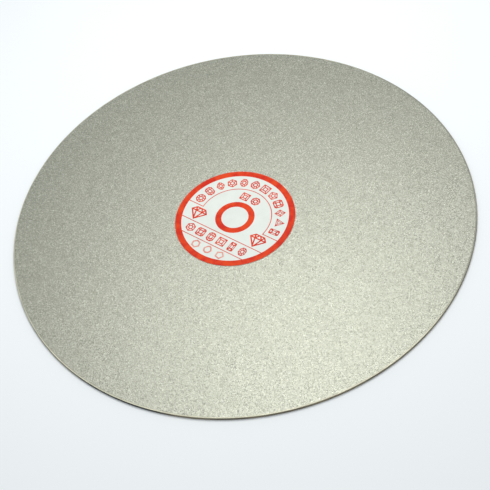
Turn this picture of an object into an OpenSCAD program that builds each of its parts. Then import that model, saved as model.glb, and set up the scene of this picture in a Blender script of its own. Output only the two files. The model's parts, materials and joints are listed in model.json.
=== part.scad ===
// Flat diamond grinding wheel: a thin steel plate with one plated layer of diamond grit on its
// upper face, and a round paper label stuck over the arbor hole.
// The wheel lies flat, grit upwards. The origin is on the wheel's axis, at its back face, and
// the label reads upright along +Y.

/* [Plate] */
// Outer diameter of the wheel
wheel_d = 200; // [100:1:300]
// Thickness of the steel plate
plate_t = 1; // [0.6:0.1:3]
// Diameter of the arbor hole
bore_d = 12.7; // [8:0.1:24]
// Width of the broken edges of the plate
edge_break = 0.1; // [0.05:0.05:0.25]

/* [Coating] */
// Thickness of the first nickel on the steel
strike_t = 0.02; // [0.01:0.01:0.05]
// Thickness of the nickel that holds the grit
bond_t = 0.15; // [0.05:0.01:0.4]
// Height of the grit above the nickel
grit_t = 0.1; // [0.05:0.01:0.4]
// Width of the smooth nickel lip outside the grit
lip_w = 0.5; // [0.2:0.1:3]

/* [Label] */
// Diameter of the label
label_d = 52.2; // [40:0.1:90]
// Distance of the label from the wheel's axis along X
label_x = -0.9; // [-3:0.1:3]
// Distance of the label from the wheel's axis along Y
label_y = -2.8; // [-3:0.1:3]
// Thickness of the adhesive
adhesive_t = 0.05; // [0.03:0.01:0.1]
// Thickness of the paper
paper_t = 0.1; // [0.06:0.01:0.2]

/* [Printing] */
// Thickness of the printed ink
ink_t = 0.02; // [0.01:0.01:0.05]
// Width of the thin printed lines
line_w = 0.35; // [0.2:0.05:0.6]
// Width of the lines of the printed marks
mark_line_w = 0.5; // [0.2:0.05:0.55]
// Number of marks along the arc
arc_marks = 12; // [4:1:12]
// Number of marks in the straight row
row_marks = 6; // [2:1:6]

/* [Hidden] */
$fn = 96;

// Radii of the plate and its layers
wheel_r = wheel_d / 2;
bore_r = bore_d / 2;
face_r = wheel_r - edge_break;
grit_r = face_r - lip_w;

// Heights of the layers, each standing on the one before
strike_z = plate_t;
bond_z = strike_z + strike_t;
grit_z = bond_z + bond_t;
adhesive_z = grit_z + grit_t;
paper_z = adhesive_z + adhesive_t;
ink_z = paper_z + paper_t;

// The label's layout, all in proportion to its radius
label_r = label_d / 2;
outer_ring_in = 0.896 * label_r;
inner_ring_out = 0.328 * label_r;
inner_ring_in = 0.226 * label_r;
arc_line_r = 0.61 * label_r;
tick_y = -0.068 * label_r;
row_top_y = -0.395 * label_r;
row_bottom_y = -0.659 * label_r;

// Centre lines and sizes of the marks
arc_mark_r = 0.75 * label_r;
arc_mark_size = 0.18 * label_r;
arc_half_angle = 85.5;
top_mark_x = 0.106 * label_r;
top_mark_y = 0.444 * label_r;
top_mark_size = 0.17 * label_r;
side_mark_x = 0.60 * label_r;
side_mark_y = -0.235 * label_r;
side_mark_size = 0.32 * label_r;
row_mark_y = (row_top_y + row_bottom_y) / 2;
row_mark_size = 0.18 * label_r;
row_mark_pitch = 0.21 * label_r;
stamp_y = -0.764 * label_r;
stamp_size = 0.165 * label_r;
stamp_pitch = 0.24 * label_r;
stamp_line_w = 1.5 * mark_line_w;
stamp_turn = -12;

// Size of a gem's flat table, as a share of the whole gem
table_share = 0.52;

// Corners of a regular gem outline that fits a circle of diameter 1
function corners(sides, turn) = [
    for (i = [0 : sides - 1])
        let (a = turn + 360 * i / sides)
            [cos(a), sin(a)] / 2
];

// An outline made wider or taller
function stretched(points, w, h) = [for (p = points) [p[0] * w, p[1] * h]];

// A box with its four corners clipped
function clipped_box(w, h, cut) = [
    [w / 2 - cut, h / 2], [cut - w / 2, h / 2], [-w / 2, h / 2 - cut], [-w / 2, cut - h / 2],
    [cut - w / 2, -h / 2], [w / 2 - cut, -h / 2], [w / 2, cut - h / 2], [w / 2, h / 2 - cut]
];

// An outline that narrows to its upper end, and to its lower end by low_end of that
function pointed(sides, w, low_end) = [
    for (i = [0 : sides - 1])
        let (a = 90 + 360 * i / sides, end = sin(a) > 0 ? 1 : low_end)
            [cos(a) * (1 - end * abs(sin(a)) * 0.35) * w / 2, sin(a) / 2]
];

// Outlines of the gem cuts, each one unit high
CUTS = [
    corners(8, 22.5),
    clipped_box(0.76, 1, 0.2),
    pointed(8, 0.8, 1),
    corners(6, 90),
    stretched(corners(8, 22.5), 0.78, 1),
    pointed(8, 0.95, 0),
    corners(4, 45) * 1.25,
    corners(5, 90),
    clipped_box(0.9, 0.9, 0.14),
    stretched(corners(4, 0), 0.86, 1.05),
    corners(3, 90) * 1.1,
    clipped_box(0.6, 1, 0.08)
];

// A straight printed line from one point to another
module stroke(a, b, w) {
    run = b - a;
    translate(a) rotate(atan2(run[1], run[0])) translate([0, -w / 2]) square([norm(run), w]);
}

// A closed printed outline; inner is the size of its opening as a share of its own size
module outline(points, inner) {
    difference() {
        polygon(points);
        polygon(points * inner);
    }
}

// A gem seen from above: its edge, its flat table, and a facet line at every corner
module cut_mark(shape, size, w) {
    edge = CUTS[shape % len(CUTS)] * size;
    table = edge * table_share;
    edge_inner = 1 - 2 * w / size;
    table_inner = 1 - 2 * w / (size * table_share);
    outline(edge, edge_inner);
    outline(table, table_inner);
    for (i = [0 : len(edge) - 1])
        stroke(table[i] * (1 + table_inner) / 2, edge[i] * (1 + edge_inner) / 2, w * 0.8);
}

// A gem seen from the side: crown, girdle and pavilion
module profile_mark(size, w) {
    half = size / 2;
    crown = [[-0.55, 0.8], [0.55, 0.8]] * half;
    girdle = [[-1, 0.3], [-0.38, 0.3], [0.38, 0.3], [1, 0.3]] * half;
    tip = [0, -0.85] * half;
    top = [0, 0.8] * half;
    edge = [crown[0], girdle[0], tip, girdle[3], crown[1]];
    intersection() {
        polygon(edge);
        union() {
            for (i = [0 : len(edge) - 1]) stroke(edge[i], edge[(i + 1) % len(edge)], 2 * w);
            stroke(girdle[0], girdle[3], w);
            for (corner = [girdle[1], girdle[2]]) {
                stroke(corner, tip, w);
                stroke(top, corner, w);
            }
            stroke(crown[0], girdle[1], w);
            stroke(crown[1], girdle[2], w);
        }
    }
}

// A flat ring, or a disc when its inner radius is 0
module ring(outer_r, inner_r) {
    difference() {
        circle(r = outer_r);
        if (inner_r > 0) circle(r = inner_r);
    }
}

// One plated layer over the plate, open at the arbor hole
module layer(outer_r, z, t) {
    translate([0, 0, z]) linear_extrude(t) ring(outer_r, bore_r);
}

// Puts a flat shape on the label's face, one ink thickness high
module printed() {
    translate([label_x, label_y, ink_z]) linear_extrude(ink_t) children();
}

module steel_plate() {
    color("dimgray") rotate_extrude()
        polygon([
            [bore_r, plate_t], [bore_r, edge_break], [bore_r + edge_break, 0],
            [wheel_r - edge_break, 0], [wheel_r, edge_break],
            [wheel_r, plate_t - edge_break], [wheel_r - edge_break, plate_t]
        ]);
}

module nickel_strike() {
    color("silver") layer(face_r, strike_z, strike_t);
}

module nickel_bond() {
    color("lightgray") layer(face_r, bond_z, bond_t);
}

module diamond_layer() {
    color([0.72, 0.73, 0.65]) layer(grit_r, grit_z, grit_t);
}

module label_adhesive() {
    color("beige") translate([label_x, label_y, adhesive_z]) cylinder(r = label_r, h = adhesive_t);
}

module label_paper() {
    color("white") translate([label_x, label_y, paper_z]) cylinder(r = label_r, h = paper_t);
}

module label_outer_ring() {
    color("orangered") printed() ring(label_r, outer_ring_in);
}

module label_inner_ring() {
    color("orangered") printed() ring(inner_ring_out, inner_ring_in);
}

// A thin arc over the upper half, with a short tick from each end out to the outer ring
module label_arc_line() {
    arc_end = sqrt(arc_line_r * arc_line_r - tick_y * tick_y);
    color("orangered") printed() {
        difference() {
            ring(arc_line_r + line_w / 2, arc_line_r - line_w / 2);
            translate([-label_r, -2 * label_r + tick_y]) square(2 * label_r);
        }
        for (side = [-1, 1]) intersection() {
            stroke([side * (arc_end - line_w / 2), tick_y], [side * label_r, tick_y], line_w);
            ring(outer_ring_in, 0);
        }
    }
}

// Two straight lines across the label, above and below the row of marks
module label_row_lines() {
    color("orangered") printed() intersection() {
        ring(outer_ring_in, 0);
        for (y = [row_top_y, row_bottom_y])
            translate([-label_r, y - line_w / 2]) square([2 * label_r, line_w]);
    }
}

module label_arc_marks() {
    step = 2 * arc_half_angle / (arc_marks - 1);
    color("orangered") printed()
        for (i = [0 : arc_marks - 1])
            rotate(arc_half_angle - i * step) translate([0, arc_mark_r])
                cut_mark(i, arc_mark_size, mark_line_w);
}

module label_top_marks() {
    color("orangered") printed() {
        translate([-top_mark_x, top_mark_y]) cut_mark(6, top_mark_size, mark_line_w);
        translate([top_mark_x, top_mark_y]) cut_mark(0, top_mark_size, mark_line_w);
    }
}

module label_side_marks() {
    color("orangered") printed()
        for (side = [-1, 1])
            translate([side * side_mark_x, side_mark_y]) profile_mark(side_mark_size, 1.2 * mark_line_w);
}

module label_row_marks() {
    color("orangered") printed()
        for (i = [0 : row_marks - 1])
            translate([(i - (row_marks - 1) / 2) * row_mark_pitch, row_mark_y])
                cut_mark(i * 5 + 3, row_mark_size, mark_line_w);
}

// Pale marks stamped over the label's lower edge
module label_stamp() {
    color("lightsalmon") printed()
        for (i = [-1 : 1])
            translate([i * stamp_pitch, stamp_y]) rotate(stamp_turn * i)
                outline(CUTS[5 + 2 * i] * stamp_size, 1 - 2 * stamp_line_w / stamp_size);
}

steel_plate();
nickel_strike();
nickel_bond();
diamond_layer();
label_adhesive();
label_paper();
label_outer_ring();
label_inner_ring();
label_arc_line();
label_row_lines();
label_arc_marks();
label_top_marks();
label_side_marks();
label_row_marks();
label_stamp();
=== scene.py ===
"""A flat diamond grinding wheel, seen from its coated side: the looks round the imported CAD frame."""

import json
import math

import bpy
import numpy as np
from mathutils import Matrix, Vector


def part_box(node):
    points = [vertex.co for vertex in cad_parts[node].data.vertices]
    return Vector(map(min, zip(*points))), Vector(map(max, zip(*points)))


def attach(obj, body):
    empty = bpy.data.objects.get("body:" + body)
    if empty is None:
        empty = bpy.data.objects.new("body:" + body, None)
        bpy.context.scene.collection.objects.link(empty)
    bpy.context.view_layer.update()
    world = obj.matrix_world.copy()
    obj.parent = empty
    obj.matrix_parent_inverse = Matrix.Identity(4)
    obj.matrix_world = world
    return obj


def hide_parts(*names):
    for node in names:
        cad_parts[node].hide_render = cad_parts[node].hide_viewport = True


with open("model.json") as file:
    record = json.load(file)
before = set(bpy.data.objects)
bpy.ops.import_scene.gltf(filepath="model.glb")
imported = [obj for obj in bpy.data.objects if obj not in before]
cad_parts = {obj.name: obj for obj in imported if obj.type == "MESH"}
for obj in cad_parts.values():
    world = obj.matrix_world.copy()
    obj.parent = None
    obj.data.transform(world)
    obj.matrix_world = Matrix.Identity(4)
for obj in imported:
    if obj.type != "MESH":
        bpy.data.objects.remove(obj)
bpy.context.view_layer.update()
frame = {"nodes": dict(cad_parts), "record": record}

MM = 0.001
SEED = 7
LIP_SEED = 17

# ---------------------------------------------------------------- sizes, all from the frame

mounts = {mount["name"]: mount for mount in frame["record"]["mounts"]}
bond_low, bond_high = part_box("nickel_bond")
grit_low, grit_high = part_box("diamond_layer")

WHEEL_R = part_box("steel_plate")[1].x
FACE_R = bond_high.x
GRIT_R = grit_high.x
BORE_R = mounts["arbor_bore"]["dims"]["r_mm"] * MM
FLOOR_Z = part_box("steel_plate")[0].z - 0.02 * MM

# ---------------------------------------------------------------- the grit and the nickel lip

# The crystals' spacing, and how far their corners and tops are shaken, as shares of it
CELL = 0.50 * MM
CORNER_JITTER = 0.30
TOP_JITTER = 0.26
# The hexagonal field's side, in radii of the grit, which has to cover the whole wheel
FIELD_SIDE = 2.4
# How high the crystals and the grooves between them stand above the nickel
SHORTEST, TALLEST = 0.064 * MM, 0.1 * MM
GROOVE_LOW, GROOVE_HIGH = 0.048 * MM, 0.060 * MM
# Most crystals are tall and few are short: the two numbers shape the spread of their sizes
SIZE_SPREAD = (2.4, 1.6)
# A crystal's tone runs from 0 to 1: its middle, its scatter, and how much lighter a tall one is
TONE_MIDDLE, TONE_SCATTER, TONE_BY_SIZE = 0.5, 0.19, 0.12
SECTORS = 6

LIP_TURNS = 720
LIP_ROUND = 0.09 * MM
LIP_WOBBLE = 0.012 * MM

# ---------------------------------------------------------------- scales of the surface patterns

CHIP = 0.30 * MM
CRYSTAL_GRAIN = 0.12 * MM
GRIT_CLOUD = 9 * MM
NODULE = 0.35 * MM
NICKEL_CLOUD = 6 * MM
TURNING_MARK = 0.35 * MM
STAIN = 22 * MM
RUST_SPECK = 1.3 * MM
# The size of the ragged ends of the painted contact shadow on the steel's edge
EDGE_SHADOW_RAGGED = 4 * MM
BUBBLE = 0.9 * MM
GUM_CLOUD = 3 * MM
PEBBLE = 0.8 * MM
FIBRE = 0.25 * MM
FIBRE_STRETCH = 3.5
PAPER_MOTTLE = 5 * MM
INK_FLOW = 4 * MM
INK_MISS = 0.3 * MM
FLOOR_MOTTLE = 0.3

# How much of a crystal's tone is its own and how much is its chips', and how strong the haze over
# the grit, the stains on the steel, the fibres in the paper and the misses in the ink are
CRYSTAL_SHARE, CHIP_SHARE = 0.25, 0.75
HAZE_SHARE = 0.12
STAIN_SHARE = 0.7
FIBRE_SHARE = 0.12
MISS_SHARE = 0.3

# Where painted shade darkens the nickel lip and where a painted contact shadow darkens the steel's
# edge, in degrees round the wheel
LIP_PAINTED_SHADE_AT = 45
EDGE_SHADOW_AT = -83

# ---------------------------------------------------------------- colours, linear red, green, blue

CRYSTAL_TONES = (
    (0.1, (0.044, 0.050, 0.037)),
    (0.4, (0.218, 0.236, 0.187)),
    (0.6, (0.338, 0.360, 0.296)),
    (0.9, (0.67, 0.70, 0.61)),
)
CRYSTAL_HAZE = (0.30, 0.315, 0.26)
GROOVE_NICKEL = (0.31, 0.315, 0.268)
NICKEL_TONES = ((0.3, (0.42, 0.42, 0.335)), (0.7, (0.56, 0.56, 0.45)))
# Painted shade: the duller colour that the nickel lip takes on one side of the wheel
NICKEL_PAINTED_SHADE = (0.24, 0.245, 0.2)
STEEL_DULL, STEEL_BRIGHT = (0.21, 0.178, 0.115), (0.32, 0.278, 0.19)
STEEL_STAIN = (0.07, 0.063, 0.05)
STEEL_RUST = (0.11, 0.062, 0.032)
# Painted shadow: the darkest colour, laid on one stretch of the steel's edge
STEEL_PAINTED_SHADOW = (0.03, 0.032, 0.028)
GUM_DULL, GUM_PALE = (0.74, 0.70, 0.58), (0.82, 0.79, 0.69)
PAPER_DULL, PAPER_WHITE = (0.63, 0.68, 0.637), (0.68, 0.728, 0.688)
PAPER_FIBRE = (0.47, 0.49, 0.46)
INK_THROUGH = (0.70, 0.42, 0.34)
RED_THIN, RED_THICK = (0.66, 0.050, 0.006), (0.53, 0.014, 0.001)
PALE_THIN, PALE_THICK = (0.68, 0.34, 0.28), (0.64, 0.21, 0.17)
FLOOR_DULL, FLOOR_PALE = (0.79, 0.83, 0.85), (0.81, 0.85, 0.87)
KEY_LIGHT = (1.0, 0.98, 0.96)
STUDIO = (0.97, 0.985, 1.0)

# ---------------------------------------------------------------- camera

AZIMUTH = math.radians(45)
ELEVATION = math.radians(51.1)
ROLL = math.radians(12.3)
DISTANCE = 4.98 * WHEEL_R
AIM_RIGHT = 0.02 * WHEEL_R
AIM_UP = -0.134 * WHEEL_R
LENS_MM, SENSOR_MM = 85, 36
NEAR, FAR = 0.01, 20


def add_camera():
    """The camera on the photographed side, turned so that the wheel lies tilted in the picture."""
    data = bpy.data.cameras.new("camera")
    data.lens = LENS_MM
    data.sensor_width = SENSOR_MM
    data.clip_start, data.clip_end = NEAR, FAR
    camera = bpy.data.objects.new("camera", data)
    back = Vector((
        math.sin(AZIMUTH) * math.cos(ELEVATION),
        -math.cos(AZIMUTH) * math.cos(ELEVATION),
        math.sin(ELEVATION),
    ))
    turn = back.to_track_quat("Z", "Y").to_matrix() @ Matrix.Rotation(-ROLL, 3, "Z")
    right, up = turn.col[0], turn.col[1]
    centre = Vector((0, 0, grit_high.z))
    at = centre + back * DISTANCE + right * AIM_RIGHT + up * AIM_UP
    camera.matrix_world = Matrix.Translation(at) @ turn.to_4x4()
    bpy.context.scene.collection.objects.link(camera)
    bpy.context.scene.camera = camera


add_camera()

# ---------------------------------------------------------------- shader helpers


def add_node(tree, kind, inputs=None, **settings):
    """A node with its settings, and its inputs set to values or linked to sockets."""
    made = tree.nodes.new(kind)
    for name, value in settings.items():
        setattr(made, name, value)
    for key, value in (inputs or {}).items():
        if isinstance(value, bpy.types.NodeSocket):
            tree.links.new(value, made.inputs[key])
        else:
            made.inputs[key].default_value = value
    return made


def place(tree):
    """Each point's place in the row frame, in metres."""
    return add_node(tree, "ShaderNodeTexCoord").outputs["Object"]


def noise(tree, size, detail=3.0, rough=0.55, at=None):
    """Soft noise whose blobs are about size metres across."""
    inputs = {"Vector": at or place(tree), "Scale": 1 / size, "Detail": detail, "Roughness": rough}
    return add_node(tree, "ShaderNodeTexNoise", inputs).outputs["Fac"]


def cells(tree, size, output="Distance"):
    """Irregular cells about size metres across."""
    inputs = {"Vector": place(tree), "Scale": 1 / size}
    return add_node(tree, "ShaderNodeTexVoronoi", inputs).outputs[output]


def attribute(tree, name):
    """The value that the mesh carries under this name."""
    return add_node(tree, "ShaderNodeAttribute", attribute_name=name).outputs["Fac"]


def towards(tree, degrees):
    """How far each point lies towards an angle round the wheel: 0 at the axis, 1 at the rim."""
    angle = math.radians(degrees)
    along = (math.cos(angle) / WHEEL_R, math.sin(angle) / WHEEL_R, 0)
    made = add_node(tree, "ShaderNodeVectorMath", {0: place(tree), 1: along}, operation="DOT_PRODUCT")
    return made.outputs["Value"]


def calculate(tree, operation, a, b):
    """One sum or product of two values."""
    return add_node(tree, "ShaderNodeMath", {0: a, 1: b}, operation=operation).outputs[0]


def spread(tree, value, low, high, to_low=0.0, to_high=1.0):
    """Stretches value from one range to another, and clamps it."""
    inputs = {"Value": value, "From Min": low, "From Max": high, "To Min": to_low, "To Max": to_high}
    return add_node(tree, "ShaderNodeMapRange", inputs).outputs["Result"]


def ramp(tree, value, stops):
    """A colour ramp through (position, (r, g, b)) stops."""
    made = add_node(tree, "ShaderNodeValToRGB", {"Fac": value})
    elements = made.color_ramp.elements
    while len(elements) < len(stops):
        elements.new(0.5)
    for element, (position, colour) in zip(elements, stops, strict=True):
        element.position = position
        element.color = (*colour, 1)
    return made.outputs["Color"]


def mix(tree, share, a, b):
    """A colour between a and b, each a socket or an (r, g, b)."""
    first, second = (x if isinstance(x, bpy.types.NodeSocket) else (*x, 1) for x in (a, b))
    inputs = {"Factor": share, 6: first, 7: second}
    return add_node(tree, "ShaderNodeMix", inputs, data_type="RGBA").outputs[2]


def bump(tree, height, depth, strength):
    """A normal from a height of 0 to 1 that stands for depth metres."""
    inputs = {"Height": height, "Distance": depth, "Strength": strength}
    return add_node(tree, "ShaderNodeBump", inputs).outputs["Normal"]


def material(name, build):
    """A material whose node tree build(tree) fills, returning the main shader's inputs."""
    made = bpy.data.materials.new(name)
    made.use_nodes = True
    tree = made.node_tree
    tree.nodes.clear()
    shader = add_node(tree, "ShaderNodeBsdfPrincipled", build(tree))
    add_node(tree, "ShaderNodeOutputMaterial", {"Surface": shader.outputs[0]})
    return made


# ---------------------------------------------------------------- materials


def grit_shader(tree):
    """Greenish grey crystals with finer chips on them, and nickel in the grooves between them."""
    grain = attribute(tree, "grain")
    rise = attribute(tree, "rise")
    chip = cells(tree, CHIP, "Color")
    by_crystal = spread(tree, grain, 0, 1, 0.0, CRYSTAL_SHARE)
    by_chip = spread(tree, chip, 0, 1, 0.0, CHIP_SHARE)
    crystal = ramp(tree, calculate(tree, "ADD", by_crystal, by_chip), CRYSTAL_TONES)
    clouds = spread(tree, noise(tree, GRIT_CLOUD), 0.3, 0.7)
    crystal = mix(tree, spread(tree, clouds, 0, 1, 0.0, HAZE_SHARE), crystal, CRYSTAL_HAZE)
    shown = spread(tree, rise, 0.12, 0.45)
    fine = noise(tree, CRYSTAL_GRAIN, 2.0)
    return {
        "Base Color": mix(tree, shown, GROOVE_NICKEL, crystal),
        "Metallic": spread(tree, shown, 0, 1, 0.9, 0.7),
        "Roughness": spread(tree, chip, 0, 1, 0.3, 0.5),
        "Normal": bump(tree, fine, 0.02 * MM, 0.6),
    }


def nickel_shader(tree):
    """Plated nickel, satin and faintly warm, with small nodules, and painted shade that darkens the lip
    on one side of the wheel.
    """
    nodules = cells(tree, NODULE)
    clean = ramp(tree, noise(tree, NICKEL_CLOUD), NICKEL_TONES)
    # Painted shade: the lip grows darker towards one side of the wheel
    painted_shade = spread(tree, towards(tree, LIP_PAINTED_SHADE_AT), 0.6, 0.85)
    return {
        "Base Color": mix(tree, painted_shade, clean, NICKEL_PAINTED_SHADE),
        "Metallic": 1.0,
        "Roughness": spread(tree, nodules, 0.0, 0.6, 0.46, 0.62),
        "Normal": bump(tree, nodules, 0.03 * MM, 0.7),
    }


def radius_and_height(tree, at):
    """Each point's distance from the axis, and its height."""
    split = add_node(tree, "ShaderNodeSeparateXYZ", {"Vector": at})
    flat = add_node(tree, "ShaderNodeCombineXYZ", {"X": split.outputs["X"], "Y": split.outputs["Y"]})
    length = add_node(tree, "ShaderNodeVectorMath", {0: flat.outputs[0]}, operation="LENGTH")
    return length.outputs["Value"], split.outputs["Z"]


def steel_shader(tree):
    """Browned mill steel: turning marks in rings, darker stains, rust specks, and a painted contact
    shadow that darkens one stretch of its edge."""
    at = place(tree)
    radius, height = radius_and_height(tree, at)
    ring_at = add_node(tree, "ShaderNodeCombineXYZ", {"X": radius, "Y": height}).outputs[0]
    rings = noise(tree, TURNING_MARK, 4.0, 0.7, ring_at)
    stains = noise(tree, STAIN, 5.0, 0.6, at)
    brown = mix(tree, spread(tree, rings, 0.3, 0.7), STEEL_DULL, STEEL_BRIGHT)
    stained = mix(tree, spread(tree, stains, 0.45, 0.65, 0.0, STAIN_SHARE), brown, STEEL_STAIN)
    specks = spread(tree, noise(tree, RUST_SPECK, 4.0, 0.7, at), 0.62, 0.72)
    rusted = mix(tree, specks, stained, STEEL_RUST)
    # Painted contact shadow: one stretch of the edge turns very dark, with ragged ends
    shadow_ragged = calculate(tree, "MULTIPLY", noise(tree, EDGE_SHADOW_RAGGED, 4.0, 0.7, at), 0.03)
    painted_shadow = spread(tree, calculate(tree, "ADD", towards(tree, EDGE_SHADOW_AT), shadow_ragged), 0.985, 1.005)
    on_edge = spread(tree, radius, 0.99 * WHEEL_R, 0.997 * WHEEL_R)
    painted_shadow = calculate(tree, "MULTIPLY", painted_shadow, on_edge)
    return {
        "Base Color": mix(tree, painted_shadow, rusted, STEEL_PAINTED_SHADOW),
        "Metallic": spread(tree, stains, 0.45, 0.7, 0.9, 0.55),
        "Roughness": spread(tree, stains, 0.4, 0.7, 0.38, 0.6),
        "Normal": bump(tree, rings, 0.02 * MM, 0.5),
    }


def gum_shader(tree):
    """The label's gum: pale, a little yellow, with small bubbles."""
    bubbles = spread(tree, cells(tree, BUBBLE), 0.1, 0.35)
    return {
        "Base Color": mix(tree, noise(tree, GUM_CLOUD), GUM_DULL, GUM_PALE),
        "Roughness": spread(tree, bubbles, 0, 1, 0.25, 0.5),
        "Normal": bump(tree, bubbles, 0.02 * MM, 0.5),
    }


def pebbles(tree):
    """The grit under the label, felt through the paper."""
    return cells(tree, PEBBLE)


def paper_shader(tree):
    """White label paper: short fibres, a faint mottle, and the grit under it showing through."""
    at = place(tree)
    stretch = add_node(tree, "ShaderNodeMapping", {"Vector": at, "Scale": (1, FIBRE_STRETCH, 1)})
    fibres = noise(tree, FIBRE, 5.0, 0.7, stretch.outputs[0])
    mottle = noise(tree, PAPER_MOTTLE, 3.0, 0.6, at)
    white = mix(tree, spread(tree, mottle, 0.3, 0.7), PAPER_DULL, PAPER_WHITE)
    white = mix(tree, spread(tree, fibres, 0.35, 0.7, 0.0, FIBRE_SHARE), white, PAPER_FIBRE)
    height = calculate(tree, "ADD", calculate(tree, "MULTIPLY", fibres, 0.35), pebbles(tree))
    return {
        "Base Color": white,
        "Roughness": spread(tree, fibres, 0.3, 0.7, 0.5, 0.66),
        "Normal": bump(tree, height, 0.03 * MM, 0.5),
    }


def ink_shader(thin, thick):
    """Printed ink between two colours, with small pale misses where the paper's fibres stand."""

    def build(tree):
        at = place(tree)
        flow = noise(tree, INK_FLOW, 2.0, 0.5, at)
        misses = spread(tree, noise(tree, INK_MISS, 4.0, 0.75, at), 0.6, 0.78, 0.0, MISS_SHARE)
        colour = mix(tree, spread(tree, flow, 0.38, 0.62), thick, thin)
        return {
            "Base Color": mix(tree, misses, colour, INK_THROUGH),
            "Roughness": spread(tree, flow, 0.3, 0.7, 0.48, 0.6),
            "Specular IOR Level": 0.15,
            "Normal": bump(tree, pebbles(tree), 0.03 * MM, 0.4),
        }

    return build


def floor_shader(tree):
    """A plain, matt, faintly blue white."""
    return {
        "Base Color": mix(tree, noise(tree, FLOOR_MOTTLE), FLOOR_DULL, FLOOR_PALE),
        "Roughness": 1.0,
        "Specular IOR Level": 0.0,
    }


GRIT = material("grit_surface", grit_shader)
NICKEL = material("plated_nickel", nickel_shader)
STEEL = material("mill_steel", steel_shader)
GUM = material("label_gum_surface", gum_shader)
PAPER = material("label_paper_surface", paper_shader)
RED_INK = material("red_print", ink_shader(RED_THIN, RED_THICK))
PALE_INK = material("pale_print", ink_shader(PALE_THIN, PALE_THICK))
FLOOR = material("pale_floor", floor_shader)

# ---------------------------------------------------------------- mesh helpers


def mesh_object(name, points, faces, look):
    """A piece from points (n, 3) and a list of faces: arrays (n, k) of k corners each, or lists of
    one face's corners."""
    loops = np.concatenate([np.asarray(f).ravel() for f in faces]).astype(np.int32)
    sizes = np.concatenate([
        np.full(len(f), f.shape[1]) if isinstance(f, np.ndarray) else np.array([len(f)]) for f in faces
    ]).astype(np.int32)
    starts = np.concatenate([[0], np.cumsum(sizes)[:-1]]).astype(np.int32)
    mesh = bpy.data.meshes.new(name)
    mesh.vertices.add(len(points))
    mesh.vertices.foreach_set("co", np.asarray(points, np.float32).ravel())
    mesh.loops.add(len(loops))
    mesh.loops.foreach_set("vertex_index", loops)
    mesh.polygons.add(len(sizes))
    mesh.polygons.foreach_set("loop_start", starts)
    mesh.polygons.foreach_set("use_smooth", np.zeros(len(sizes), bool))
    mesh.update(calc_edges=True)
    mesh.validate()
    mesh.materials.append(look)
    made = bpy.data.objects.new(name, mesh)
    bpy.context.scene.collection.objects.link(made)
    return made


def set_attribute(piece, name, domain, values):
    """Gives the piece's mesh one value for each point or face, for its material to read."""
    made = piece.data.attributes.new(name, "FLOAT", domain)
    made.data.foreach_set("value", np.asarray(values, np.float32))


# ---------------------------------------------------------------- diamond grit


def crystal_field():
    """A field of crystals, one to each cell of a hexagonal grid that is shaken out of order.
    Returns the points, each cell's six corners and top, its centre, and its size from 0 to 1."""
    rng = np.random.default_rng(SEED)
    across = int(FIELD_SIDE * GRIT_R / CELL)
    i, j = np.meshgrid(np.arange(across), np.arange(across), indexing="ij")
    middle = across / 2
    centre = np.stack([
        CELL * ((i - middle) + (j - middle) / 2),
        CELL * (j - middle) * math.sqrt(3) / 2,
    ], -1)
    up = centre + [CELL / 2, CELL / math.sqrt(12)]
    down = centre + [CELL, CELL / math.sqrt(3)]
    count = across * across
    index = np.arange(count).reshape(across, across)

    def shaken(at, share):
        return at + rng.uniform(-share, share, at.shape) * CELL

    top, up, down = shaken(centre, TOP_JITTER), shaken(up, CORNER_JITTER), shaken(down, CORNER_JITTER)
    groove = grit_low.z + rng.uniform(GROOVE_LOW, GROOVE_HIGH, (2, across, across))
    size = rng.beta(*SIZE_SPREAD, (across, across))
    points = np.concatenate([
        np.dstack([top, grit_low.z + SHORTEST + (TALLEST - SHORTEST) * size]).reshape(-1, 3),
        np.dstack([up, groove[0]]).reshape(-1, 3),
        np.dstack([down, groove[1]]).reshape(-1, 3),
    ])
    inside = index[1:-1, 1:-1]
    left, below = index[:-2, 1:-1], index[1:-1, :-2]
    ring = np.stack([
        count + inside, 2 * count + left, count + left,
        2 * count + index[:-2, :-2], count + below, 2 * count + below,
    ], -1).reshape(-1, 6)
    tops = inside.reshape(-1)
    flat = centre.reshape(-1, 2)[tops]
    return points, ring, tops, flat, size.reshape(-1)[tops]


def boundary_loops(edges):
    """The closed loops made by the directed edges that have no partner running the other way."""
    codes = edges[:, 0].astype(np.int64) * (edges.max() + 1) + edges[:, 1]
    back = edges[:, 1].astype(np.int64) * (edges.max() + 1) + edges[:, 0]
    alone = edges[~np.isin(codes, back)]
    following = dict(alone.tolist())
    loops = []
    while following:
        start, at = following.popitem()
        loop = [start]
        while at != start:
            loop.append(at)
            at = following.pop(at)
        loops.append(loop)
    return loops


def round_off(points, ring):
    """Moves the field's outermost corners onto the rim and the innermost onto the arbor hole."""
    uses = np.bincount(ring.ravel(), minlength=len(points))
    edge = np.flatnonzero((uses > 0) & (uses < 3))
    edge_far = np.hypot(points[edge, 0], points[edge, 1])
    snapped = np.where(edge_far > GRIT_R / 2, GRIT_R, BORE_R)
    points[edge, :2] *= (snapped / edge_far)[:, None]
    points[edge, 2] = grit_low.z + GROOVE_LOW


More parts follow.
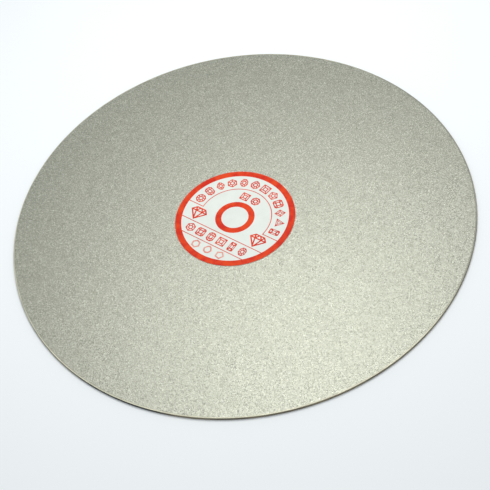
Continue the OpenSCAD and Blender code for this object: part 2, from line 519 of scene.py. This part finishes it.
def add_sector(name, points, corners, top, tone):
    """One sector of the grit: its crystals' facets, closed by walls and a floor on the nickel."""
    after = np.roll(corners, -1, axis=1)
    facets = np.stack([np.repeat(top[:, None], 6, 1), corners, after], -1).reshape(-1, 3)
    used, facets = np.unique(facets, return_inverse=True)
    facets = facets.reshape(-1, 3)
    own = points[used]
    walls, floors = [], []
    for loop in boundary_loops(facets[:, 1:]):
        low = np.arange(len(own), len(own) + len(loop))
        under = own[loop].copy()
        under[:, 2] = grit_low.z
        own = np.concatenate([own, under])
        here, there = np.array(loop), np.roll(loop, -1)
        walls.append(np.stack([there, here, low, np.roll(low, -1)], -1))
        floors.append(low[::-1].tolist())
    piece = mesh_object(name, own, [facets, *walls, *floors], GRIT)
    is_top = np.zeros(len(own))
    is_top[: len(used)] = np.isin(used, top)
    set_attribute(piece, "rise", "POINT", is_top)
    closing = sum(len(wall) for wall in walls) + len(floors)
    tones = np.concatenate([np.repeat(tone, 6), np.full(closing, TONE_MIDDLE)])
    set_attribute(piece, "grain", "FACE", tones)
    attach(piece, "root")
    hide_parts("diamond_layer")


def add_grit():
    """The coated face: six sectors of crystals, each a closed solid that stands on the nickel."""
    points, ring, tops, flat, size = crystal_field()
    far = np.hypot(flat[:, 0], flat[:, 1])
    kept = (far < GRIT_R - CELL / 2) & (far > BORE_R + CELL / 2)
    ring, tops, flat, size = ring[kept], tops[kept], flat[kept], size[kept]
    round_off(points, ring)
    rng = np.random.default_rng(SEED + 1)
    scatter = rng.normal(TONE_MIDDLE, TONE_SCATTER, len(tops))
    tone = np.clip(scatter + TONE_BY_SIZE * (size - 0.5), 0, 1)
    angle = np.degrees(np.arctan2(flat[:, 1], flat[:, 0])) % 360
    for sector in range(SECTORS):
        mine = np.flatnonzero((angle * SECTORS // 360).astype(int) == sector)
        add_sector(f"grit_sector_{sector + 1}", points, ring[mine], tops[mine], tone[mine])


add_grit()

# ---------------------------------------------------------------- nickel lip


def turned(name, profile, look):
    """A ring swept round the axis from (radius, height) points, listed anticlockwise. Outside the
    grit its radius wanders a little from place to place."""
    rng = np.random.default_rng(LIP_SEED)
    angles = np.linspace(0, 2 * math.pi, LIP_TURNS, endpoint=False)
    profile = np.array(profile)
    count = len(profile)
    wander = rng.uniform(-LIP_WOBBLE, 0, (LIP_TURNS, count))
    radius = profile[None, :, 0] + wander * (profile[None, :, 0] > GRIT_R)
    points = np.stack([
        radius * np.cos(angles)[:, None],
        radius * np.sin(angles)[:, None],
        np.broadcast_to(profile[None, :, 1], (LIP_TURNS, count)),
    ], -1).reshape(-1, 3)
    step, point = np.meshgrid(np.arange(LIP_TURNS), np.arange(count), indexing="ij")
    there, beyond = (step + 1) % LIP_TURNS, (point + 1) % count
    faces = np.stack([
        step * count + point, there * count + point, there * count + beyond, step * count + beyond,
    ], -1).reshape(-1, 4)
    return mesh_object(name, points, [faces], look)


def add_nickel():
    """The nickel that holds the grit: flat under it, with a rounded lip outside."""
    low, high = bond_low.z, bond_high.z
    lip = [
        (FACE_R - LIP_ROUND * (1 - math.cos(a)), high - LIP_ROUND * (1 - math.sin(a)))
        for a in np.linspace(0, math.pi / 2, 6)
    ]
    inner = [(GRIT_R, high), (GRIT_R - 2 * MM, high), (BORE_R, high), (BORE_R, low)]
    piece = turned("nickel_lip", [(FACE_R, low), *lip, *inner], NICKEL)
    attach(piece, "root")
    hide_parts("nickel_bond")


add_nickel()

# ---------------------------------------------------------------- looks of the CAD nodes

# The nodes that aren't listed are the label's other printing, all in red ink
LOOKS = {
    "steel_plate": STEEL,
    "nickel_strike": NICKEL,
    "nickel_bond": NICKEL,
    "diamond_layer": GRIT,
    "label_adhesive": GUM,
    "label_paper": PAPER,
    "label_stamp": PALE_INK,
}
for name, node in frame["nodes"].items():
    for slot in node.material_slots:
        slot.material = LOOKS.get(name, RED_INK)

# ---------------------------------------------------------------- floor, light and world

FLOOR_REACH = 4.0
# The world's strength at the horizon and overhead, and the heights between which it changes
WALLS, CEILING = 0.85, 0.6
WALLS_END, CEILING_START = 0.12, 0.4
# The softbox's place as the camera sees it, its size and its power in watts
BOX_RIGHT, BOX_AWAY, BOX_HEIGHT = 0.03, 0.12, 0.38
BOX_SIZE = 0.25
BOX_POWER = 1.15


def add_floor():
    """A plain pale floor under the wheel."""
    reach = FLOOR_REACH
    corners = [(-reach, -reach), (reach, -reach), (reach, reach), (-reach, reach)]
    floor = mesh_object("floor", [(x, y, FLOOR_Z) for x, y in corners], [[0, 1, 2, 3]], FLOOR)


def add_softbox():
    """A faintly warm square softbox over the wheel, facing the wheel's centre."""
    data = bpy.data.lights.new("softbox_over", "AREA")
    data.color = KEY_LIGHT
    data.shape = "SQUARE"
    data.size = BOX_SIZE
    data.energy = BOX_POWER
    light = bpy.data.objects.new("softbox_over", data)
    to_right = Vector((math.cos(AZIMUTH), math.sin(AZIMUTH), 0))
    to_back = Vector((-math.sin(AZIMUTH), math.cos(AZIMUTH), 0))
    at = to_right * BOX_RIGHT + to_back * BOX_AWAY + Vector((0, 0, BOX_HEIGHT))
    light.matrix_world = Matrix.Translation(at) @ at.to_track_quat("Z", "Y").to_matrix().to_4x4()
    light.visible_camera = False
    bpy.context.scene.collection.objects.link(light)


def add_world():
    """Pale studio walls at the horizon, and a dimmer ceiling."""
    world = bpy.data.worlds.new("studio")
    world.use_nodes = True
    tree = world.node_tree
    direction = add_node(tree, "ShaderNodeTexCoord").outputs["Generated"]
    up = add_node(tree, "ShaderNodeSeparateXYZ", {"Vector": direction}).outputs["Z"]
    strength = spread(tree, up, WALLS_END, CEILING_START, WALLS, CEILING)
    background = tree.nodes["Background"]
    background.inputs["Color"].default_value = (*STUDIO, 1)
    tree.links.new(strength, background.inputs["Strength"])
    bpy.context.scene.world = world


add_floor()
add_world()
add_softbox()
bpy.context.scene.view_settings.view_transform = "Standard"
